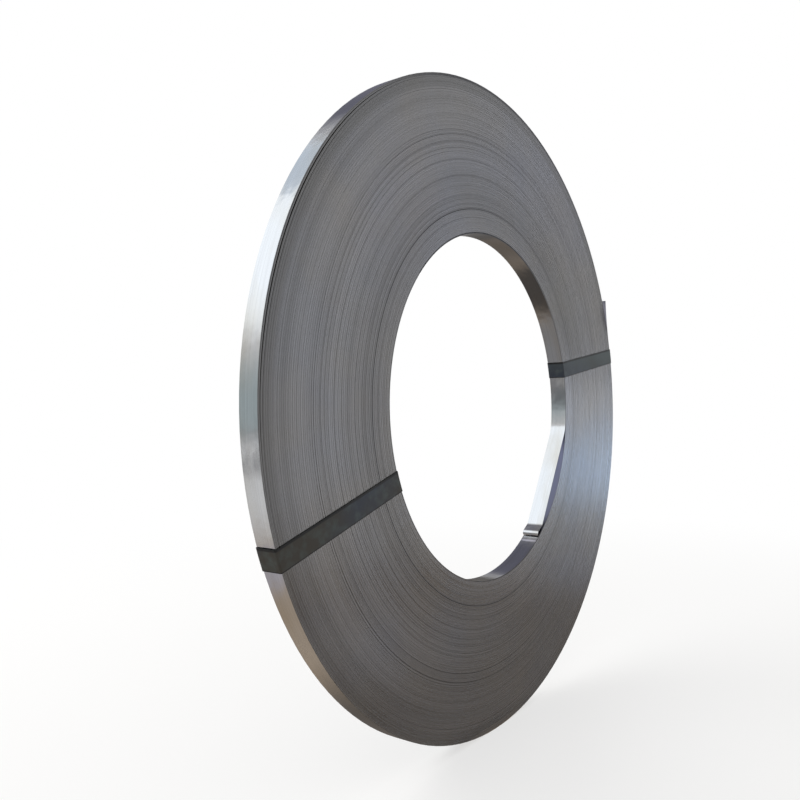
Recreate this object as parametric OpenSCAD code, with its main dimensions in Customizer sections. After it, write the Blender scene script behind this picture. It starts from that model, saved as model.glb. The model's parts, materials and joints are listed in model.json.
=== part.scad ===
// Slim coil of slit aluminium strip, held by two steel packing straps.
//
// The coil stands on its rim: +Z is up, the floor is at Z = 0, the axis of the coil lies
// along Y and the front face looks along -Y. The pieces are drawn with the axis along Z
// and the front face up, and then stood up. Lengths are millimetres. Angles are degrees,
// counter-clockwise from +X as seen from the front, the way the winding grows.

/* [Strip] */
// Width of the strip, which is the thickness of the coil
strip_w = 16; // [12:1:40]
// Thickness of the strip
strip_t = 0.6; // [0.4:0.1:1.5]

/* [Coil] */
// Bore diameter, set by the winding mandrel
bore_d = 300; // [240:10:400]
// Outer diameter of the wound coil
coil_d = 560; // [460:10:800]
// Turns in the average band of turns that slipped together
band_turns = 5; // [3:1:10]
// Furthest that a band slipped along the axis, either way
band_slip = 0.15; // [0:0.05:0.3]
// Depth of the line between two bands on the coil's ends
line_depth = 0.4; // [0.2:0.1:0.8]

/* [Outer end] */
// Free length of strip past the strap
outer_free = 50; // [20:5:100]
// Radius at which the free end springs away from the coil
outer_spring_r = 240; // [150:10:600]
// Coil surface left clear between the strap and the free end
outer_margin = 6; // [2:1:20]

/* [Inner end] */
// Angle on the bore at which the inner end leaves the wall
inner_leave = -7; // [-30:1:0]
// Angle by which it is bent away from the wall
inner_bend = 24.7; // [15:0.1:32]
// Radius of that bend
inner_bend_r = 30; // [20:1:50]
// Angle of the inward bend before the hook
hook_knee = 28; // [10:1:45]
// Radius of the knee
hook_knee_r = 6; // [4:0.5:12]
// Straight length between the knee and the fold
hook_flat = 8; // [4:0.5:16]
// Angle of the fold that turns the cut end back to the wall
hook_fold = 80; // [60:1:100]
// Radius of the fold
hook_fold_r = 3.5; // [2:0.5:6]

/* [Straps] */
// Width of the strapping
strap_w = 16; // [10:1:25]
// Thickness of the strapping
strap_t = 0.6; // [0.4:0.1:1.0]
// Inside radius of the strap round the coil's edges
strap_corner = 0.8; // [0.4:0.1:2]
// Directions of the right and left strap
strap_angles = [8.8, 197.2];
// How far each strap lies to the side of a true radius
strap_offsets = [14, 10];
// Length of each strap's end that shows past the seal
strap_end = 12; // [4:1:30]

/* [Seals] */
// Length of a crimped seal
seal_l = 28; // [20:1:40]
// Thickness of the seal's sheet
seal_t = 0.8; // [0.5:0.1:1.2]
// Length of one crimp notch along the strap
notch_l = 5; // [3:0.5:7]
// Depth of a notch into the edge
notch_d = 2.5; // [1:0.5:4]

/* [Clearances] */
// Between the coil and the straps, and between a strap's two ends
strap_gap = 0.05; // [0:0.05:0.3]
// Between a strap and its seal, on every side
seal_gap = 0.05; // [0:0.05:0.3]
// Between the hook's cut end and the bore wall
hook_gap = 0.2; // [0.1:0.1:1]
// Depth to which the free ends run into the winding where they leave it
root_depth = 0.3; // [0.2:0.1:0.4]

/* [Hidden] */
$fn = 180;

bore_r = bore_d / 2;
coil_r = coil_d / 2;

// Depths behind the coil's back plane, from the coil out to the back of the seals.
lay_seal = band_slip + strap_gap;
lay_inner = lay_seal + seal_t + seal_gap;
lay_outer = lay_inner + strap_t + strap_gap;
lay_cover = lay_outer + strap_t + seal_gap;
back_z = lay_cover + seal_t;
front_z = back_z + strip_w;

// The strap's inner and outer faces on the rim, in the bore and on the front.
rim_in = coil_r + strap_gap;
rim_out = rim_in + strap_t;
wall_in = bore_r - strap_gap;
wall_out = wall_in - strap_t;
top_in = front_z + band_slip + strap_gap;
top_out = top_in + strap_t;
under_in = back_z - lay_seal;

// Stands a piece up, with the middle of the whole depth over the origin.
module standing() {
    translate([0, top_out / 2, coil_r]) rotate([90, 0, 0]) children();
}

// The seal is at the middle of the strap's run across the back.
seal_mid = (bore_r + coil_r) / 2;
seal_from = seal_mid - seal_l / 2;
seal_to = seal_mid + seal_l / 2;
seal_in = strap_w / 2 + seal_gap;
seal_out = seal_in + seal_t;

// Radii at which one band of turns ends and the next starts.
band_w = band_turns * strip_t;
function band_width(i) = band_w * (1 + 0.45 * sin(i * 97));
function slip(i) = band_slip * (0.65 * sin(i * 137.5) + 0.35 * sin(i * 61));
band_lines = [for (i = 0, r = bore_r + band_width(0); r < coil_r - band_w / 2;
                   r = r + band_width(i + 1), i = i + 1) r];
bands = len(band_lines) + 1;
function band_start(i) = i == 0 ? bore_r : band_lines[i - 1] + strip_t / 2;
function band_end(i) = i == bands - 1 ? coil_r : band_lines[i] - strip_t / 2;

// One end of the coil in section: flat bands with a sunk line between them. The depth of
// the lines is negative on the front and positive on the back.
function end_section(z, depth) = [for (i = [0 : bands - 1]) each concat(
    [[band_start(i), z + slip(i)], [band_end(i), z + slip(i)]],
    i < bands - 1 ? [[band_lines[i], z + depth]] : [])];
function reversed(list) = [for (i = [len(list) - 1 : -1 : 0]) list[i]];

module winding() {
    rotate_extrude()
        polygon(concat(end_section(back_z, line_depth),
                       reversed(end_section(front_z, -line_depth))));
}

// A run of strip on edge, from the origin along +X. Each stretch is [radius, size]: a
// radius of 0 is a straight of that length, and otherwise it is a bend through that
// angle, to the left for a radius above 0 and to the right for one below. A state is
// [x, y, heading], and the outline joins the points of both faces of the strip.
bend_step = 4;
function ahead(state, stretch) = let (radius = stretch[0], size = stretch[1], h = state[2])
    radius == 0
    ? [state[0] + size * cos(h), state[1] + size * sin(h), h]
    : let (turned = h + sign(radius) * size)
      [state[0] + radius * (sin(turned) - sin(h)),
       state[1] - radius * (cos(turned) - cos(h)), turned];
function steps(stretch) = stretch[0] == 0 ? 1 : ceil(stretch[1] / bend_step);
function states(run, i = 0, state = [0, 0, 0]) = i == len(run) ? [state]
    : let (n = steps(run[i]))
      concat([for (k = [0 : n - 1]) ahead(state, [run[i][0], run[i][1] * k / n])],
             states(run, i + 1, ahead(state, run[i])));
function beside(state, offset) =
    [state[0] - offset * sin(state[2]), state[1] + offset * cos(state[2])];

module strip_run(run) {
    path = states(run);
    linear_extrude(strip_w)
        polygon(concat([for (state = path) beside(state, strip_t / 2)],
                       reversed([for (state = path) beside(state, -strip_t / 2)])));
}

// The outer end follows the strap, then springs out against the curve of the coil.
outer_strap = strap_angles[0] + asin((strap_offsets[0] + strap_w / 2) / coil_r);
outer_leave = outer_strap + outer_margin / coil_r * 180 / PI;
outer_sweep = outer_free / outer_spring_r * 180 / PI;

module outer_end() {
    rotate(outer_leave) translate([coil_r - strip_t / 2 - root_depth, 0, back_z])
        rotate(90) strip_run([[-outer_spring_r, outer_sweep]]);
}

// The inner end crosses the bore as a chord, and its hook stops at the wall. Along and
// across are measured in the chord's own direction, across to the left.
root_r = bore_r + strip_t / 2 + root_depth;
chord_heading = inner_leave - 90 - inner_bend;
chord_start = root_r * [cos(inner_leave), sin(inner_leave)]
    + inner_bend_r * sin(inner_bend) * [cos(inner_leave - 90), sin(inner_leave - 90)]
    + inner_bend_r * (1 - cos(inner_bend)) * [cos(inner_leave + 180), sin(inner_leave + 180)];
fold_heading = hook_fold - hook_knee;
hook_along = hook_knee_r * sin(hook_knee) + hook_flat * cos(hook_knee)
    + hook_fold_r * (sin(hook_knee) + sin(fold_heading));
hook_across = -hook_knee_r * (1 - cos(hook_knee)) - hook_flat * sin(hook_knee)
    + hook_fold_r * (cos(hook_knee) - cos(fold_heading));
along = [cos(chord_heading), sin(chord_heading)];
across = [-along[1], along[0]];
hook_reach = chord_start + hook_along * along + hook_across * across;
stop_r = bore_r - hook_gap - strip_t / 2;
chord_l = -hook_reach * along
    + sqrt(pow(hook_reach * along, 2) - hook_reach * hook_reach + pow(stop_r, 2));

module inner_end() {
    rotate(inner_leave) translate([root_r, 0, back_z]) rotate(-90)
        strip_run([[-inner_bend_r, inner_bend], [0, chord_l], [-hook_knee_r, hook_knee],
                   [0, hook_flat], [hook_fold_r, hook_fold]]);
}

module strip_coil() {
    color("lightslategray") standing() {
        winding();
        outer_end();
        inner_end();
    }
}

// Section of a strap round the winding, as one outline. Its four corners run from the
// bottom of the bore, over the front, to the bottom of the rim. Under the back, one end
// slopes down to the seal from the bore and the other from the rim. The first lies on the
// second inside the seal and a little way past it.
corner_steps = 6;
back_from = wall_in + strap_corner;
back_to = rim_in - strap_corner;
corner_centres = [[back_from, under_in + strap_corner], [back_from, top_in - strap_corner],
                  [back_to, top_in - strap_corner], [back_to, under_in + strap_corner]];
slope = (lay_outer - lay_seal) / (back_to - seal_to);
inner_lay = [[seal_to + strap_end, back_z - lay_inner + slope * strap_end],
             [seal_to, back_z - lay_inner], [seal_from, back_z - lay_inner]];
outer_lay = [[seal_to, back_z - lay_outer], [seal_from - strap_end, back_z - lay_outer]];
function lowered(points, by) = [for (point = points) [point[0], point[1] - by]];
function round_corners(radius) = [for (i = [0 : 3], k = [0 : corner_steps])
    let (turn = 270 - 90 * i - 90 * k / corner_steps)
    corner_centres[i] + radius * [cos(turn), sin(turn)]];

module strap_section() {
    coil_side = concat(inner_lay, round_corners(strap_corner), outer_lay);
    open_side = concat(lowered(inner_lay, strap_t), round_corners(strap_corner + strap_t),
                       lowered(outer_lay, strap_t));
    polygon(concat(coil_side, reversed(open_side)));
}

// The crimp notches of a seal, which cut the strap's edges too, in the strap's own frame.
module crimp_notches() {
    for (x = [-1, 1], y = [-1, 1])
        translate([seal_mid + x * seal_l / 4, y * seal_out, -1])
            linear_extrude(back_z + 1)
                polygon([[-notch_l / 2, y], [notch_l / 2, y], [notch_l / 2, 0],
                         [notch_l / 4, -y * notch_d], [-notch_l / 4, -y * notch_d],
                         [-notch_l / 2, 0]]);
}

module strap(i) {
    rotate(strap_angles[i]) translate([0, strap_offsets[i], 0]) difference() {
        intersection() {
            translate([0, -strap_offsets[i], 0]) rotate_extrude() strap_section();
            translate([wall_out / 2, -strap_w / 2, -1])
                cube([rim_out, strap_w, top_out + 2]);
        }
        crimp_notches();
    }
}

module strap_right() {
    color("darkslategray") standing() strap(0);
}

module strap_left() {
    color("darkslategray") standing() strap(1);
}

// A strip of sheet folded round both ends of the strap and notched at its edges.
module seal(i) {
    rotate(strap_angles[i]) translate([0, strap_offsets[i], 0]) difference() {
        translate([seal_from, -seal_out, 0])
            cube([seal_l, 2 * seal_out, back_z - lay_seal]);
        translate([seal_from - 1, -seal_in, seal_t])
            cube([seal_l + 2, 2 * seal_in, back_z - lay_seal - 2 * seal_t]);
        crimp_notches();
    }
}

module seal_right() {
    color("slategray") standing() seal(0);
}

module seal_left() {
    color("slategray") standing() seal(1);
}

strip_coil();
strap_right();
strap_left();
seal_right();
seal_left();
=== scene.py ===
import json
import math

import bpy
import numpy as np
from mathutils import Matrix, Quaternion, Vector


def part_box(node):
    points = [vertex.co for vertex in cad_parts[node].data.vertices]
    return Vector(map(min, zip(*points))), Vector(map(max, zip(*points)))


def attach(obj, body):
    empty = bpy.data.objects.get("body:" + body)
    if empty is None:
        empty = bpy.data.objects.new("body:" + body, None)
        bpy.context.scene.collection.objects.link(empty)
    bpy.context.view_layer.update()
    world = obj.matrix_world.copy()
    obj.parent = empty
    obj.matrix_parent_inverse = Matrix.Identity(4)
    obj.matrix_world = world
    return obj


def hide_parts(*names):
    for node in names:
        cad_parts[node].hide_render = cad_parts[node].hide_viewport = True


# Looks of a slim coil of slit aluminium strip, standing on its rim and tied with two packing
# straps. One function builds a length of strip from the line that it follows, and the whole coil
# is one such line, from the hook in the bore, through every turn, to the free outer end.
# Lengths are metres. Angles in the plane of the coil are degrees, counter-clockwise from +X as
# seen from the front, which is the way the strip winds outwards.

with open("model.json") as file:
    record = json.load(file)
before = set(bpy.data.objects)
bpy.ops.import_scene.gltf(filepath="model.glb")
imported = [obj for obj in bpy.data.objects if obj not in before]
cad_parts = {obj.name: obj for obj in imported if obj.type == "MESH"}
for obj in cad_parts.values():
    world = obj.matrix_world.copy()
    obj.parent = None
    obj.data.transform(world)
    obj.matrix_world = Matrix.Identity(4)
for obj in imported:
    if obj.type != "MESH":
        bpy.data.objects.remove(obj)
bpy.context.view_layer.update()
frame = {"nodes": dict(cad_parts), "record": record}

MM = 0.001

# ---------------------------------------------------------------- sizes, from the frame
BORE = {mount["name"]: mount for mount in frame["record"]["mounts"]}["mandrel_bore"]
BORE_R = BORE["dims"]["r_mm"] * MM
STRIP_W = BORE["dims"]["length_mm"] * MM
COIL_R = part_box("strip_coil")[1].z / 2
AXIS = Vector(BORE["pos_m"])

# ---------------------------------------------------------------- sizes of the strip
# Each turn takes up the pitch, with the strip and a gap of at least this. The corners of its
# edges are cut off by so much of the thickness, and so deep.
PITCH = 0.6 * MM
STRIP_T = 0.57 * MM
LEAST_GAP = 0.006 * MM
EDGE_ROUND = 0.11 * MM
EDGE_DEPTH = 0.07 * MM
# How far the turns slip along the axis at most. They do so in waves of so many to a turn, each
# with its share of the whole, and each starts elsewhere.
SLIP = 0.13 * MM
SLIP_WAVES = [(0.31, 0.5), (0.83, 0.3), (0.077, 0.2)]
SLIP_START = 9

# The outer end leaves the rim past the right strap and springs away from the coil.
OUTER_LEAVE = 14.6
OUTER_FREE = 50 * MM
OUTER_SPRING_R = 240 * MM

# The inner end is bent off the wall of the bore, crosses it as a chord and ends in a hook that
# rests on the wall again. Bends are a radius, below 0 to the right, and an angle.
INNER_LEAVE = -7.0
INNER_BEND = (-30 * MM, 24.7)
HOOK_KNEE = (-6 * MM, 28)
HOOK_FLAT = (0, 8 * MM)
HOOK_FOLD = (3.5 * MM, 80)
HOOK_GAP = 0.2 * MM

# The winding is drawn in short steps, so many to a turn.
STEPS = 150
GROWN = COIL_R - BORE_R - STRIP_T
WHOLE_TURNS = int(GROWN / PITCH)
WOUND_STEPS = WHOLE_TURNS * STEPS + round((OUTER_LEAVE - INNER_LEAVE) / 360 * STEPS)
LAST_TURN = WOUND_STEPS / STEPS

# Places where a turn stands off from the one inside it: turns from the start, or from the end
# where below 0, then turns to either side over which the gap closes, and its widest.
LOOSE = [
    (-0.62, 0.13, 0.2 * MM),
    (-2.61, 0.11, 0.9 * MM),
    (-5.60, 0.16, 0.35 * MM),
    (-20.5, 0.9, 0.16 * MM),
    (123.6, 0.30, 0.25 * MM),
    (34.7, 0.7, 0.16 * MM),
    (1.22, 0.15, 0.40 * MM),
    (1.83, 0.09, 0.45 * MM),
]

# ---------------------------------------------------------------- tones and painted shade on the cut edges
# Each side is a direction from the axis, and its reach is how far out that way a mark starts and
# is full. Bands are counted in turns.
# A dull band round the outside, how softly it begins, and the least and the most that it covers.
OUTER_BAND, OUTER_SOFT = 19, 1
OUTER_SIDE, OUTER_REACH, OUTER_SHARE = 115, (-0.10, 0.08), (0.1, 0.6)
# A band of painted shade over the top of the rim, one turn near the bore painted dark as the
# shade in the gap there, and the turns of its wall, which are darker.
RIM_BAND = 4.2
RIM_SIDE, RIM_REACH = 72, (0.17, 0.24)
DARK_TURN, HALF_A_TURN = 34.7, 0.5
WALL_BAND = 1.4
# The turns halfway out are lighter on the far left: where that starts, is full, fades, ends.
LIGHTER_BAND = (50, 85, 160, 185)
LIGHTER_SIDE, LIGHTER_REACH = 178, (0.04, 0.19)
# The inner turns are a little darker above, and less so from the first of these to the second.
INNER_BAND = (60, 110)
INNER_SIDE, INNER_REACH = 60, (0.10, 0.14)

# ---------------------------------------------------------------- straps
# Directions of the two straps, and how far each lies to the side of a true radius.
STRAP_W = 16 * MM
STRAPS = {"strap_right": (8.8, 14 * MM), "strap_left": (197.2, 10 * MM)}
# How far the painted shade runs in from each edge of a strap, where it is full and where it ends.
UPPER_EDGE_SHADE = (1.2 * MM, 2.0 * MM)
LOWER_EDGE_SHADE = (0.5 * MM, 0.9 * MM)
# Heights between which it turns from browner to bluer, and those between which it turns paler.
BLUER_HEIGHTS = (0.19, 0.27)
PALER_HEIGHTS = (0.312, 0.335)


def collection_link(thing):
    """Puts an object in the scene."""
    bpy.context.scene.collection.objects.link(thing)
    return thing


def direction(angle):
    """The direction at that angle in the plane of the coil."""
    return np.array([math.cos(math.radians(angle)), math.sin(math.radians(angle))])


def in_space(flat):
    """A place or a direction in the plane of the coil, as a vector in space."""
    return Vector((flat[0], 0, flat[1]))


# ---------------------------------------------------------------- materials
def to_metre(apart):
    """How many marks of a pattern lie in a metre, to a tenth, from the millimetres between them."""
    return round(1000 / apart, 1)


# Patterns that follow the strip, along it, across it and from turn to turn. The lines of the
# rolls are finer than this, and are drawn as coarse as they need to show.
ROLL_LINES = (to_metre(166.7), to_metre(0.9091), 0)
COCKLES = (to_metre(18.18), to_metre(16.67), 0)
OIL_BLOTCHES = (to_metre(62.5), to_metre(22.22), 0)
# Its edges have stretches of one tone, and lie in bands of about 3 and of about 14 turns of one
# tone, which are given as how many there are to a turn.
TONE_RUNS = to_metre(588)
BANDS, BROAD_BANDS = 0.35, 0.07
# Patterns that don't follow the strip.
OIL_PATCHES = to_metre(91)
DUST = to_metre(28.6)
WAX = to_metre(38.5)
RUBS = to_metre(6.25)
SPANGLES = to_metre(2.381)

# The part of a noise's range that is drawn out from 0 to 1: nearly all of it, the middle, which
# gives patches with clearer borders, and the upper part, which gives fewer marks. The last is for
# three noises added up.
FULL, MIDDLE, UPPER = (0.3, 0.7), (0.35, 0.65), (0.45, 0.75)
OF_THREE = (1.15, 1.85)


def srgb(code):
    """A hex colour as linear red, green, blue and alpha."""
    parts = [int(code[i : i + 2], 16) / 255 for i in (1, 3, 5)]
    return (*[p / 12.92 if p <= 0.04045 else ((p + 0.055) / 1.055) ** 2.4 for p in parts], 1)


def add(tree, kind, inputs=(), **settings):
    """Adds a shader node with its own settings. Inputs are values or outputs of other nodes, by
    the names of its sockets or in the order of those in use, and a node given as an input stands
    for its first output in use. So a MapRange lists its value, the range that this comes from
    and the one it goes to, and a Mix its share and two colours."""
    made = tree.nodes.new("ShaderNode" + kind)
    for name, value in settings.items():
        setattr(made, name, value)
    if isinstance(inputs, dict):
        pairs = [(made.inputs[name], value) for name, value in inputs.items()]
    else:
        pairs = zip([socket for socket in made.inputs if socket.enabled], inputs)
    for socket, value in pairs:
        if isinstance(value, bpy.types.Node):
            value = next(output for output in value.outputs if output.enabled)
        if isinstance(value, bpy.types.NodeSocket):
            tree.links.new(value, socket)
        else:
            socket.default_value = value
    return made


def new_material(name):
    """An empty material and its node tree."""
    material = bpy.data.materials.new(name)
    material.use_nodes = True
    material.node_tree.nodes.clear()
    return material, material.node_tree


def finished(tree, material, sockets):
    """Closes a material with a surface that has these values."""
    surface = add(tree, "BsdfPrincipled", sockets)
    add(tree, "OutputMaterial", {"Surface": surface})
    return material


def mill_finish_aluminium():
    """Cold rolled aluminium. The rolls leave it bright, with fine lines along the strip, and
    it cockles a little between them, which breaks up what it mirrors."""
    material, tree = new_material("mill_finish_aluminium")
    strip = add(tree, "Attribute", attribute_name="strip").outputs["Vector"]
    noises = []
    for scale, detail in ((ROLL_LINES, 3), (COCKLES, 2), (OIL_BLOTCHES, 4)):
        place = add(tree, "Mapping", {"Vector": strip, "Scale": scale})
        noises.append(add(tree, "TexNoise", {"Vector": place, "Scale": 1, "Detail": detail}))
    line, cockle, oil = noises

    tone = add(tree, "MapRange", (line, *FULL))
    clean = add(tree, "Mix", (tone, srgb("#afb0b2"), srgb("#bcbdbf")), data_type="RGBA")
    film = add(tree, "MapRange", (oil, *UPPER, 0, 0.7))
    oiled = add(tree, "Mix", (film, clean, srgb("#a8a49c")), data_type="RGBA")
    rough = add(tree, "MapRange", (oil, *FULL, 0.09, 0.17))
    lined = {"Height": line, "Strength": 0.15, "Distance": 0.02 * MM}
    lined = add(tree, "Bump", lined)
    cockled = {"Height": cockle, "Strength": 0.5, "Distance": 0.65 * MM, "Normal": lined}
    cockled = add(tree, "Bump", cockled)
    sockets = {"Base Color": oiled, "Metallic": 1.0, "Roughness": rough, "Normal": cockled}
    return finished(tree, material, sockets)


def toward_side(tree, where, angle):
    """How far a place of the strip lies from the axis in that direction."""
    return add(tree, "VectorMath", (where, in_space(direction(angle))), operation="DOT_PRODUCT")


def edge_by_side(tree, turn, where, bare):
    """The edge's colour, lighter on the far left halfway out and a little darker above near the
    bore.
    """
    start, full, fading, end = LIGHTER_BAND
    share, *others = [
        add(tree, "MapRange", (toward_side(tree, where, LIGHTER_SIDE), *LIGHTER_REACH)),
        add(tree, "MapRange", (turn, start, full)),
        add(tree, "MapRange", (turn, fading, end, 1, 0)),
    ]
    for other in others:
        share = add(tree, "Math", (share, other), operation="MULTIPLY")
    brighter = (share, bare, srgb("#414142"))
    sided_tone = add(tree, "Mix", brighter, data_type="RGBA", blend_type="ADD")

    above = add(tree, "MapRange", (toward_side(tree, where, INNER_SIDE), *INNER_REACH))
    inside = add(tree, "MapRange", (turn, *INNER_BAND, 1, 0))
    share = add(tree, "Math", (above, inside), operation="MULTIPLY")
    darker_above = (share, sided_tone, srgb("#f1f1ef"))
    return add(tree, "Mix", darker_above, data_type="RGBA", blend_type="MULTIPLY")


def bands_and_painted_shade(tree, turn, where, clean):
    """The edge's colour, darker in a band round the outside and on the turns of the bore's wall,
    with painted shade over the top of the rim and on one turn near the bore.
    """
    most = (toward_side(tree, where, OUTER_SIDE), *OUTER_REACH, *OUTER_SHARE)
    most = add(tree, "MapRange", most)
    first = LAST_TURN - OUTER_BAND
    band = (turn, first - OUTER_SOFT, first + OUTER_SOFT, 0, most)
    band = add(tree, "MapRange", band)
    dull = add(tree, "Mix", (band, clean, srgb("#6a6a6b")), data_type="RGBA")

    # Painted shade over the top of the rim, as a dark outline there.
    over = add(tree, "MapRange", (toward_side(tree, where, RIM_SIDE), *RIM_REACH))
    outer = add(tree, "Math", (turn, LAST_TURN - RIM_BAND), operation="GREATER_THAN")
    rim = add(tree, "Math", (outer, over), operation="MULTIPLY")
    wall = add(tree, "Math", (turn, WALL_BAND), operation="LESS_THAN")
    # One turn near the bore is painted dark, as shade in the gap that opens there.
    dark = add(tree, "Math", (turn, DARK_TURN, HALF_A_TURN), operation="COMPARE")
    for more in (wall, rim):
        dark = add(tree, "Math", (dark, more), operation="MAXIMUM")
    return add(tree, "Mix", (dark, dull, srgb("#434347")), data_type="RGBA")


def slit_edge():
    """Sheared aluminium edge. The slitting knives leave it dull and grey, and no two turns are
    quite alike. Oil and dust have settled on it in patches. It is darker in bands, on the bore's
    wall and a little above the bore, lighter on the far left, and painted shade darkens the top
    of the rim and one turn near the bore."""
    material, tree = new_material("slit_aluminium_edge")
    strip = add(tree, "Attribute", attribute_name="strip").outputs["Vector"]
    length, _, turn = add(tree, "SeparateXYZ", (strip,)).outputs
    where = add(tree, "TexCoord").outputs["Object"]

    runs, bands, broad = [
        add(tree, "TexNoise", {"W": along, "Scale": scale}, noise_dimensions="1D")
        for along, scale in ((length, TONE_RUNS), (turn, BANDS), (turn, BROAD_BANDS))
    ]
    summed = runs
    for more in (bands, broad):
        summed = add(tree, "Math", (summed, more), operation="ADD")
    tone = add(tree, "MapRange", (summed, *OF_THREE))
    bare = add(tree, "Mix", (tone, srgb("#818183"), srgb("#909093")), data_type="RGBA")
    sided_tone = edge_by_side(tree, turn, where, bare)

    patch = {"Vector": where, "Scale": OIL_PATCHES, "Detail": 3, "Roughness": 0.55}
    warmth = add(tree, "MapRange", (add(tree, "TexNoise", patch), *MIDDLE))
    oil = add(tree, "Mix", (warmth, srgb("#f4f1ec"), srgb("#eff1f5")), data_type="RGBA")
    oiled = add(tree, "Mix", (1.0, sided_tone, oil), data_type="RGBA", blend_type="MULTIPLY")
    colour = bands_and_painted_shade(tree, turn, where, oiled)
    rough = add(tree, "MapRange", (runs, *FULL, 0.22, 0.34))
    return finished(tree, material, {"Base Color": colour, "Metallic": 1.0, "Roughness": rough})


def dusty_gap_shade():
    """Near-black painted shade with a mottle of dust, on the turned-over corners of the sheared
    edges and in the space between the turns. It draws a dark line between each turn and the next."""
    material, tree = new_material("dusty_painted_gap_shade")
    where = add(tree, "TexCoord").outputs["Object"]
    dust = add(tree, "TexNoise", {"Vector": where, "Scale": DUST, "Detail": 3})
    tone = add(tree, "MapRange", (dust, *MIDDLE))
    colour = add(tree, "Mix", (tone, srgb("#2e2d2c"), srgb("#43423f")), data_type="RGBA")
    rough = add(tree, "MapRange", (dust, *FULL, 0.4, 0.6))
    return finished(tree, material, {"Base Color": colour, "Roughness": rough})


def blued_steel(angle, offset):
    """Blued and waxed steel strapping. It is nearly black, blue where the wax is thin and brown
    where it is thick, browner low down and bluer higher up, and paler where it is rubbed and high
    up.
    Dark lines of painted shade run along its edges, widest along the upper one."""
    material, tree = new_material("blued_steel_strapping")
    where = add(tree, "TexCoord").outputs["Object"]
    height = add(tree, "SeparateXYZ", (where,)).outputs["Z"]
    slope = add(tree, "MapRange", (height, *BLUER_HEIGHTS, 0.15, -0.15))
    wax = add(tree, "TexNoise", {"Vector": where, "Scale": WAX, "Detail": 4})
    both = add(tree, "Math", (wax, slope), operation="ADD")
    brown_share = add(tree, "MapRange", (both, *MIDDLE))
    waxed = add(tree, "Mix", (brown_share, srgb("#272d37"), srgb("#322f2a")), data_type="RGBA")
    rub = add(tree, "TexNoise", {"Vector": where, "Scale": RUBS, "Detail": 4})
    rubbed = add(tree, "MapRange", (rub, *UPPER, 0, 0.6))
    aloft = add(tree, "MapRange", (height, *PALER_HEIGHTS, 0, 0.75))
    bare = add(tree, "Math", (rubbed, aloft), operation="MAXIMUM")
    worn = add(tree, "Mix", (bare, waxed, srgb("#3f4847")), data_type="RGBA")

    # Painted shade: dark lines along both edges of the strap, the upper one widest.
    side = direction(angle + 90)
    middle = AXIS + in_space(side) * offset
    from_middle = add(tree, "VectorMath", (where, middle), operation="SUBTRACT")
    up = in_space(np.sign(side[1]) * side)
    across = add(tree, "VectorMath", (from_middle, up), operation="DOT_PRODUCT")
    half = STRAP_W / 2
    full, end = UPPER_EDGE_SHADE
    upper = add(tree, "MapRange", (across, half - end, half - full))
    full, end = LOWER_EDGE_SHADE
    lower = add(tree, "MapRange", (across, end - half, full - half))
    edge = add(tree, "Math", (upper, lower), operation="MAXIMUM")
    colour = add(tree, "Mix", (edge, worn, srgb("#111213")), data_type="RGBA")
    rough = add(tree, "MapRange", (wax, *FULL, 0.5, 0.62))
    sockets = {"Base Color": colour, "Roughness": rough, "Specular IOR Level": 0.25}
    return finished(tree, material, sockets)


def zinc_plate():
    """Zinc plated sheet: pale grey, with the blotchy sheen of the plating."""
    material, tree = new_material("zinc_plated_steel")
    where = add(tree, "TexCoord").outputs["Object"]
    spangle = add(tree, "TexNoise", {"Vector": where, "Scale": SPANGLES})
    tone = add(tree, "MapRange", (spangle, *FULL))
    colour = add(tree, "Mix", (tone, srgb("#8f9496"), srgb("#a9aeb0")), data_type="RGBA")
    rough = add(tree, "MapRange", (spangle, 0, 1, 0.3, 0.45))
    return finished(tree, material, {"Base Color": colour, "Metallic": 1.0, "Roughness": rough})


# ---------------------------------------------------------------- the strip
# The third finish is painted shade, for the corners of the edges and between the turns.
ROLLED, SLIT, DUSTY_SHADE = 0, 1, 2
FRONT_EDGE, INNER_FACE, BACK_EDGE, OUTER_FACE = 1, 3, 5, 7
FINISH_OF_SIDE = [DUSTY_SHADE, SLIT, DUSTY_SHADE, ROLLED, DUSTY_SHADE, SLIT, DUSTY_SHADE, ROLLED]


def section():
    """The strip's section: how far each corner lies outwards and back from the middle."""
    side, crest = STRIP_T / 2, STRIP_T / 2 - EDGE_ROUND
    back, shoulder = STRIP_W / 2, STRIP_W / 2 - EDGE_DEPTH
    return np.array(
        [
            (side, -shoulder),
            (crest, -back),
            (-crest, -back),
            (-side, -shoulder),
            (-side, shoulder),
            (-crest, back),
            (crest, back),
            (side, shoulder),
        ]
    )


def swept(line, slip):
    """The section's corners at each point of a line in the plane of the coil."""
    ahead = np.gradient(line, axis=0)
    ahead /= np.linalg.norm(ahead, axis=1)[:, None]
    outward = np.stack([ahead[:, 1], -ahead[:, 0]], axis=1)
    around = section()
    flat = line[:, None, :] + outward[:, None, :] * around[None, :, :1]
    deep = np.broadcast_to(around[None, :, 1], flat.shape[:2]) + slip[:, None]
    return np.stack([flat[..., 0], deep, flat[..., 1]], axis=2)


def sides_and_cuts(points, sides):
    """The faces that join the sections at so many points, and the two cut ends."""
    first = np.arange(points - 1)[:, None] * sides
    here = np.arange(sides)[None, :]
    after = (here + 1) % sides
    rings = [first + here, first + after, first + after + sides, first + here + sides]
    quads = np.stack(rings, axis=2).reshape(-1, 4)[:, ::-1]
    last = points * sides - 1
    return quads.tolist() + [list(range(sides)), [last - i for i in range(sides)]]


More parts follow.
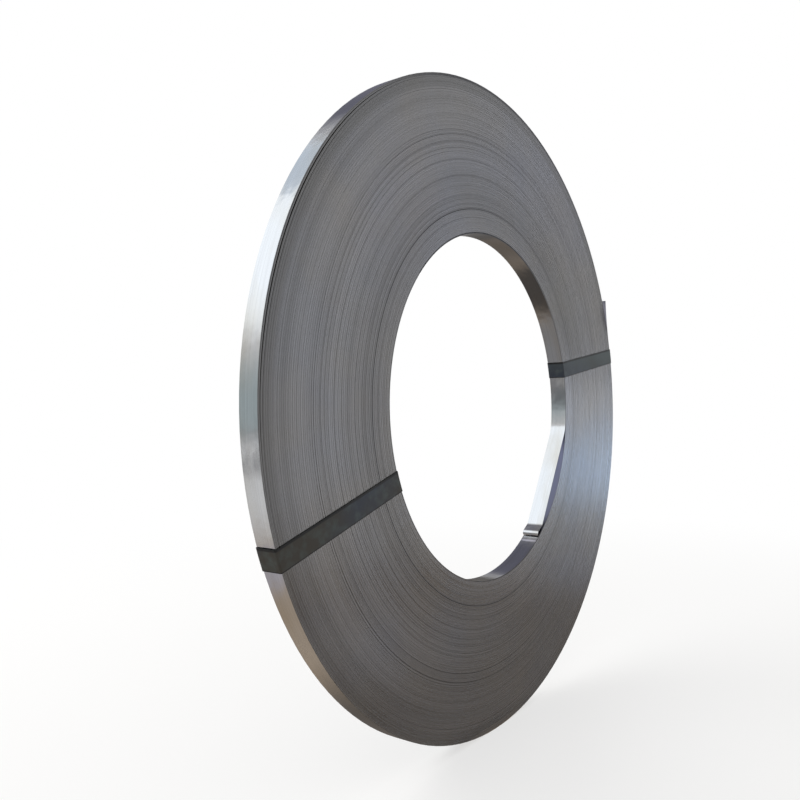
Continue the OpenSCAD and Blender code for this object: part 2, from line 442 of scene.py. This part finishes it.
def sharpen(mesh, sides):
    """Marks as sharp the lines along the strip, where its sides meet, and those of its cuts."""
    ends = np.zeros(len(mesh.edges) * 2, int)
    mesh.edges.foreach_get("vertices", ends)
    ends = ends.reshape(-1, 2)
    runs_along = ends[:, 0] % sides == ends[:, 1] % sides
    at_cut = (ends.max(1) < sides) | (ends.min(1) >= len(mesh.vertices) - sides)
    sharp = mesh.attributes.new("sharp_edge", "BOOLEAN", "EDGE")
    sharp.data.foreach_set("value", runs_along | at_cut)


# Where the map of a piece has its rows for the edges, which show, and for all other sides, and
# the middle and the size of the patch for the two cuts.
SHOWN_ROWS, OTHER_ROWS = (0, 0.7), (0.72, 0.96)
CUT_PATCH, CUT_SIZE = [0.5, 0.99], [0.9, 0.01]


def lay_out(mesh, steps):
    """A map of a piece of wound strip: one row for each turn of each side, with broad rows for
    the cut edges, which show, and narrow ones for all else."""
    sides = len(section())
    show = [side for side in range(sides) if side in (FRONT_EDGE, BACK_EDGE)]
    rest = [side for side in range(sides) if side not in show]
    number, place = np.divmod(np.arange(steps), STEPS)
    rows = number[-1] + 1
    low, high = np.zeros((2, steps, sides))
    for group, (start, stop) in ((show, SHOWN_ROWS), (rest, OTHER_ROWS)):
        height = (stop - start) / (len(group) * rows)
        for rank, side in enumerate(group):
            low[:, side] = start + (rank * rows + number) * height
            high[:, side] = low[:, side] + height
    left = np.broadcast_to(place[:, None] / STEPS, low.shape)
    right = left + 1 / STEPS
    quads = np.stack([right, low, right, high, left, high, left, low], axis=2).ravel()
    cut = CUT_PATCH + section()[:, ::-1] / [STRIP_W, STRIP_T] * CUT_SIZE
    layer = mesh.uv_layers.new(name="OFBake", do_init=False)
    layer.uv.foreach_set("vector", np.concatenate([quads, cut.ravel(), cut[::-1].ravel()]))


def strip_piece(name, finishes, line, slip, length, turn, covered):
    """A piece of strip along a line in the plane of the coil, given by its points. Covered
    holds, for its outer and its inner face, whether another turn lies on it there."""
    corners = swept(line, slip)
    points, sides = corners.shape[:2]
    mesh = bpy.data.meshes.new(name)
    mesh.from_pydata(corners.reshape(-1, 3), [], sides_and_cuts(points, sides))

    finish = np.tile(FINISH_OF_SIDE, (points - 1, 1))
    # Rolled faces that another turn covers get the painted shade.
    finish[:, OUTER_FACE][covered[0][1:]] = DUSTY_SHADE
    finish[:, INNER_FACE][covered[1][1:]] = DUSTY_SHADE
    finish = [*finish.ravel().tolist(), SLIT, SLIT]
    mesh.polygons.foreach_set("material_index", finish)
    mesh.polygons.foreach_set("use_smooth", [True] * len(finish))
    sharpen(mesh, sides)
    rows = [np.repeat(length, sides), corners[..., 1].ravel(), np.repeat(turn, sides)]
    place = mesh.attributes.new("strip", "FLOAT_VECTOR", "POINT")
    place.data.foreach_set("vector", np.stack(rows, axis=1).astype(np.float32).ravel())
    for material in finishes:
        mesh.materials.append(material)
    if covered[:, 1:].all():
        lay_out(mesh, points - 1)

    piece = collection_link(bpy.data.objects.new(name, mesh))
    piece.location = AXIS
    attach(piece, "root")
    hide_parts("strip_coil")
    return piece


def bent(start, heading, stretches, most=3.0):
    """Points of a line made of stretches: (0, length) is straight, and (radius, angle) is a
    bend through that angle, to the left for a radius above 0 and to the right for one below.
    A bend is drawn in steps of at most so many degrees."""
    points = [np.array(start)]
    for radius, size in stretches:
        if radius == 0:
            points.append(points[-1] + size * direction(heading))
            continue
        middle = points[-1] + radius * direction(heading + 90)
        count = math.ceil(size / most)
        side = math.copysign(1, radius)
        for k in range(1, count + 1):
            turned = heading + side * size * k / count
            points.append(middle - radius * direction(turned + 90))
        heading += side * size
    return np.array(points)


def inner_end():
    """Line of the inner end, from the cut edge of the hook to where it leaves the wall. Its
    straight run is as long as it takes for the tip to come to rest just off the wall."""
    wall = (BORE_R + STRIP_T / 2) * direction(INNER_LEAVE)
    heading = INNER_LEAVE - 90
    chord = direction(heading - INNER_BEND[1])
    hook = [HOOK_KNEE, HOOK_FLAT, HOOK_FOLD]
    tip = bent(wall, heading, [INNER_BEND, (0, 0), *hook])[-1]
    stop = BORE_R - HOOK_GAP - STRIP_T / 2
    reach = tip @ chord
    length = -reach + math.sqrt(reach**2 - tip @ tip + stop**2)
    return bent(wall, heading, [INNER_BEND, (0, length), *hook])[::-1]


# Places where turns stand off by chance: one in so many turns, where they are likeliest and
# where they stop as shares of all turns, how far each reaches in turns, and how wide it opens
# against the others.
LOOSE_SEED = 11
LOOSE_EVERY = 3
LOOSE_LIKELY, LOOSE_LAST = 0.4, 0.97
LOOSE_REACH = (0.15, 0.6)
LOOSE_OPEN = (0.3, 1)


def winding():
    """Angles, radii, slip and number of the wound turns, one value for each step."""
    draw = np.random.default_rng(LOOSE_SEED)
    angle = INNER_LEAVE + 360 / STEPS * np.arange(WOUND_STEPS + 1)
    turn = np.arange(WOUND_STEPS + 1) / STEPS

    def on_spoke(values):
        """The mean over all turns, for each direction from the axis."""
        mean = values[: WHOLE_TURNS * STEPS].reshape(WHOLE_TURNS, STEPS).mean(axis=0)
        return np.resize(mean, WOUND_STEPS + 1)

    stated = np.zeros(WOUND_STEPS + 1)
    for place, wide, most in LOOSE:
        near = np.clip((turn - place % LAST_TURN) / wide, -1, 1)
        stated += most * np.cos(np.pi / 2 * near)
    chance = np.zeros(WOUND_STEPS + 1)
    for _ in range(WHOLE_TURNS // LOOSE_EVERY):
        place = draw.triangular(1, LOOSE_LIKELY * WHOLE_TURNS, LOOSE_LAST * WHOLE_TURNS)
        wide = draw.uniform(*LOOSE_REACH)
        chance += draw.uniform(*LOOSE_OPEN) ** 2 * np.exp(-(((turn - place) / wide) ** 2))
    rise = GROWN / LAST_TURN
    spare = rise - STRIP_T - LEAST_GAP - on_spoke(stated)
    gap = LEAST_GAP + stated + spare * chance / on_spoke(chance)

    radius = BORE_R + STRIP_T / 2 + rise * turn
    for k in range(1, WHOLE_TURNS + 1):
        now = np.arange(k * STEPS, min((k + 1) * STEPS, WOUND_STEPS + 1))
        radius[now] = radius[now - STEPS] + STRIP_T + gap[now]
    radius *= (COIL_R - STRIP_T / 2) / radius.max()

    phases = [(2 * np.pi * rate * turn + SLIP_START * rate, share) for rate, share in SLIP_WAVES]
    slip = sum(share * np.sin(phase) for phase, share in phases)
    return angle, radius, slip * SLIP, turn


def wound_strip():
    """The whole strip, cut into pieces between turns because one mesh would be too large."""
    angle, radius, slip, turn = winding()
    spoke = np.radians(angle)
    wound = np.stack([radius * np.cos(spoke), radius * np.sin(spoke)], axis=1)
    inside = inner_end()[:-1]
    spring = (-OUTER_SPRING_R, math.degrees(OUTER_FREE / OUTER_SPRING_R))
    outside = bent(wound[-1], angle[-1] + 90, [spring])[1:]
    line = np.concatenate([inside, wound, outside])
    slip = np.pad(slip, (len(inside), len(outside)), mode="edge")
    turn = np.pad(turn, (len(inside), len(outside)), mode="edge")
    steps = np.linalg.norm(np.diff(line, axis=0), axis=1)
    length = np.concatenate([[0], np.cumsum(steps)])

    names = ["inner_end", "inner_turns", "middle_turns", "outer_turns", "outer_end"]
    start = len(inside) + STEPS
    stop = len(line) - len(outside) - 2 * STEPS
    cuts = [0, *np.linspace(start, stop, len(names) - 1).astype(int), len(line) - 1]
    # The third finish is the painted shade between the turns.
    finishes = [mill_finish_aluminium(), slit_edge(), dusty_gap_shade()]
    covered = np.array([(turn > 0) & (turn < turn[-1] - 1), (turn > 1) & (turn < turn[-1])])
    for name, low, high in zip(names, cuts, cuts[1:]):
        run = slice(low, high + 1)
        rows = line[run], slip[run], length[run], turn[run], covered[:, run]
        strip_piece(name, finishes, *rows)


# ---------------------------------------------------------------- straps and seals
def dress(name, material):
    """Gives a CAD node that keeps its shape a finish."""
    mesh = frame["nodes"][name].data
    mesh.materials.clear()
    mesh.materials.append(material)


# ---------------------------------------------------------------- stage
# The camera's place, the way that it looks, its roll in degrees, and its lens in millimetres.
EYE, LOOK = (-0.6012, -0.3512, 0.2793), (0.8046, 0.5938, 0.0112)
ROLL, LENS, SENSOR = -0.87, 35.2, 36

# The floor's half size, how far off it starts to turn white and is white, and how white it is at
# each. The light of the room on everything is a little under what the camera sees of it.
FLOOR_HALF = 8
FLOOR_FADE, FLOOR_WHITE = (0.3, 1.4), (0.6, 1.0)
ROOM_LIGHT = 0.8

# The lamp: azimuth and elevation, distance, sides and power.
LAMP_PLACE, LAMP_AWAY, LAMP_SIDES, LAMP_POWER = (-30, 40), 2, (2.4, 1.2), 18

# Cards on the floor, each a little above the one before: a place, its width and depth, its
# colour, and the share of its radius over which it fades.
FLOOR_CARDS = [
    ("sand_mat", (0.1, -0.05), 1.7, 1.7, "#c2b19e", 0.45),
    ("brown_mat", (1.0, 0.68), 2.7, 1.9, "#7f766e", 0.45),
    ("back_mat", (1.9, 1.15), 2.4, 1.8, "#6b6764", 0.4),
    ("front_mat", (0.25, -0.10), 1.3, 0.42, "#a89f97", 0.6),
    ("left_mat", (-1.85, 0.70), 2.4, 0.9, "#7f7f80", 0.5),
    ("far_mat", (-2.2, 2.4), 3.6, 3.2, "#b9bdbd", 0.9),
    ("near_mat", (0.12, -0.27), 0.52, 0.40, "#d6d3d4", 0.8),
    ("bright_mat", (0.66, -0.21), 0.56, 0.32, "#dcdee8", 0.8),
    ("pale_mat", (-0.375, 0.217), 0.24, 0.16, "#cbc6cc", 0.7),
    ("back_shade", (0.11, 0.16), 0.46, 0.30, "#5a5551", 0.6),
    ("foot_shade", (-0.04, 0.05), 0.45, 0.18, "#68625d", 0.6),
]
FLOOR_CARD_STEP = 0.5 * MM

# Cards round the coil, which face it: azimuth and elevation, distance, width, height, colour,
# strength, and the share of the radius over which they fade.
ROUND_CARDS = [
    ("sky_window", (-30, 39), 3.0, 5.8, 2.8, "#f6fbff", 1.95, 0.35),
    ("thin_curtain", (-4.5, 48.5), 2.6, 1.05, 1.4, "#e0ebf7", 1.2, 0.4),
    ("left_wall", (-50, 1), 3.4, 4.4, 2.0, "#c3cfd1", 1.0, 0.8),
    ("cool_wall", (120, 18), 3.2, 1.9, 1.0, "#f3f5ff", 1.13, 0.7),
    ("dim_corner", (-66, -8), 1.2, 0.7, 0.6, "#868b8d", 1.0, 0.8),
    ("dark_hanging", (50, 38), 3.0, 4.2, 4.2, "#737380", 1.0, 0.6),
    ("dark_wall", (62, -4), 2.8, 3.0, 2.0, "#6e6b69", 1.0, 0.5),
    ("side_window", (108, -6.5), 1.6, 0.52, 0.34, "#b8cde6", 5.2, 0.5),
    ("side_glow", (112, 0), 1.6, 0.52, 0.22, "#edf0f4", 2.7, 0.5),
]

# The side of the next coil: its middle, width, height, colour and the share of it that fades.
NEXT_COIL = ((-0.12, 0.15, 0.12), 0.28, 0.34, "#9e9d9e", 0.4)

# Cards close to the metal stand this far off it: one so far along the inner end's chord, one at
# this angle on the wall under the hook's lip, and one over the rim so many degrees past where the
# outer end leaves it.
CLOSE = 1 * MM
ALONG_CHORD = 50 * MM
UNDER_LIP = -58.4
PAST_LEAVE = 6


def seen_rays(tree):
    """1 for what the camera sees directly, in a reflection or through glass."""
    path = add(tree, "LightPath").outputs
    seen = path["Is Camera Ray"]
    for ray in ("Is Glossy Ray", "Is Transmission Ray"):
        seen = add(tree, "Math", (seen, path[ray]), operation="MAXIMUM")
    return seen


def pale_floor():
    """A pale painted floor that runs out into the white background."""
    material, tree = new_material("pale_floor")
    paint = add(tree, "BsdfDiffuse", {"Color": srgb("#f4f3f1")})
    white = add(tree, "Emission", {"Color": (1, 1, 1, 1), "Strength": 1})
    place = add(tree, "TexCoord").outputs["Object"]
    away = add(tree, "VectorMath", (place,), operation="LENGTH")
    fade = (away, *FLOOR_FADE, *FLOOR_WHITE)
    far = add(tree, "MapRange", fade, interpolation_type="SMOOTHSTEP")
    share = add(tree, "Math", (far, seen_rays(tree)), operation="MULTIPLY")
    surface = add(tree, "MixShader", (share, paint, white))
    add(tree, "OutputMaterial", {"Surface": surface})
    return material


def floor():
    """The floor under the coil, wide enough to be seen from every side."""
    mesh = bpy.data.meshes.new("floor")
    size = FLOOR_HALF
    corners = [(-size, -size, 0), (size, -size, 0), (size, size, 0), (-size, size, 0)]
    mesh.from_pydata(corners, [], [(0, 1, 2, 3)])
    mesh.materials.append(pale_floor())
    collection_link(bpy.data.objects.new("floor", mesh))


def white_room():
    """White to the camera and in reflections, and a soft light on everything else."""
    world = bpy.data.worlds.new("white_room")
    bpy.context.scene.world = world
    world.use_nodes = True
    tree = world.node_tree
    tree.nodes.clear()
    soft = add(tree, "Background", {"Color": (1, 1, 1, 1), "Strength": ROOM_LIGHT})
    white = add(tree, "Background", {"Color": (1, 1, 1, 1), "Strength": 1})
    shown = add(tree, "MixShader", (seen_rays(tree), soft, white))
    add(tree, "OutputWorld", {"Surface": shown})


def toward(azimuth, elevation):
    """A direction: azimuth from +Y towards +X, elevation above the horizon."""
    a, e = math.radians(azimuth), math.radians(elevation)
    return Vector((math.sin(a) * math.cos(e), math.cos(a) * math.cos(e), math.sin(e)))


def key_lamp():
    """A large lamp high behind the left shoulder of the coil, for the shadow on the floor."""
    lamp = bpy.data.lights.new("key_lamp", "AREA")
    lamp.shape = "RECTANGLE"
    lamp.size, lamp.size_y = LAMP_SIDES
    lamp.energy = LAMP_POWER
    box = collection_link(bpy.data.objects.new("key_lamp", lamp))
    back = toward(*LAMP_PLACE)
    box.location = AXIS + back * LAMP_AWAY
    box.rotation_mode = "QUATERNION"
    box.rotation_quaternion = (-back).to_track_quat("-Z", "Y")
    box.visible_glossy = False


def card(name, middle, facing, wide, high, colour, strength=1.0, soft=0.5):
    """An oval card that shows only in reflections, as a studio puts round bright metal. Its
    edge fades out over the soft share of its radius."""
    material, tree = new_material(name)
    place = add(tree, "TexCoord").outputs["Object"]
    inward = add(tree, "TexGradient", (place,), gradient_type="SPHERICAL").outputs["Fac"]
    there = add(tree, "MapRange", (inward, 0, soft), interpolation_type="SMOOTHSTEP")
    clear = add(tree, "BsdfTransparent")
    light = add(tree, "Emission", {"Color": srgb(colour), "Strength": strength})
    shown = add(tree, "MixShader", (there, clear, light))
    add(tree, "OutputMaterial", {"Surface": shown})

    mesh = bpy.data.meshes.new(name)
    mesh.from_pydata([(-1, -1, 0), (1, -1, 0), (1, 1, 0), (-1, 1, 0)], [], [(0, 1, 2, 3)])
    mesh.materials.append(material)
    made = collection_link(bpy.data.objects.new(name, mesh))
    made.location = middle
    made.rotation_mode = "QUATERNION"
    made.rotation_quaternion = facing.to_track_quat("Z", "Y")
    made.scale = (wide / 2, high / 2, 1)
    for ray in ("camera", "diffuse", "transmission", "volume_scatter", "shadow"):
        setattr(made, "visible_" + ray, False)


def cards():
    """What the metal mirrors: a bright window high on the left, a dim wall under it, dark
    hangings on the right, a window low on the right, the brown floor covering round the coil's
    foot with the coil's shade on it close by, and, past the left of the bore, the side of the
    next coil."""
    for step, (name, (x, y), wide, deep, colour, soft) in enumerate(FLOOR_CARDS, 1):
        middle = Vector((x, y, step * FLOOR_CARD_STEP))
        card(name, middle, Vector((0, 0, 1)), wide, deep, colour, soft=soft)
    middle, wide, high, colour, soft = NEXT_COIL
    card("next_coil", Vector(middle), Vector((0, -1, 0)), wide, high, colour, soft=soft)
    for name, place, away, *look in ROUND_CARDS:
        back = toward(*place)
        card(name, AXIS + back * away, -back, *look)


def close_cards():
    """What three small places mirror of the metal next to them: the wall behind the inner end,
    the wall under its lip, and the rim under the outer end."""
    radius, angle = INNER_BEND
    chord = direction(INNER_LEAVE - 90 - angle)
    outward = direction(INNER_LEAVE - angle)
    # The corner between the wall and the chord, which the bend rounds off.
    knee = BORE_R * direction(INNER_LEAVE)
    knee += -radius * math.tan(math.radians(angle / 2)) * direction(INNER_LEAVE - 90)
    under = direction(UNDER_LIP)
    past = direction(OUTER_LEAVE + PAST_LEAVE)
    places = [
        ("wedge_glow", knee + ALONG_CHORD * chord + CLOSE * outward, outward, 1.5, 110, "#9a9fbd"),
        ("lip_glow", (BORE_R - CLOSE) * under, under, 1.5, 3.2, "#e8e6f4"),
        ("tail_glow", (COIL_R + CLOSE) * past, past, 2, 60, "#a8a6b2"),
    ]
    for name, place, facing, widths, high, colour in places:
        wide = widths * STRIP_W
        card(name, AXIS + in_space(place), in_space(facing), wide, high * MM, colour)


def camera():
    """The camera, left of the coil's front and level with its axis."""
    lens = bpy.data.cameras.new("camera")
    lens.lens = LENS
    lens.sensor_width = SENSOR
    eye = collection_link(bpy.data.objects.new("camera", lens))
    eye.location = EYE
    roll = Quaternion((0, 0, 1), math.radians(ROLL))
    eye.rotation_mode = "QUATERNION"
    eye.rotation_quaternion = Vector(LOOK).to_track_quat("-Z", "Y") @ roll
    bpy.context.scene.camera = eye


camera()
wound_strip()
for strap, (angle, offset) in STRAPS.items():
    dress(strap, blued_steel(angle, offset))
for seal in ("seal_right", "seal_left"):
    dress(seal, zinc_plate())
floor()
white_room()
key_lamp()
cards()
close_cards()
bpy.context.scene.view_settings.view_transform = "Standard"
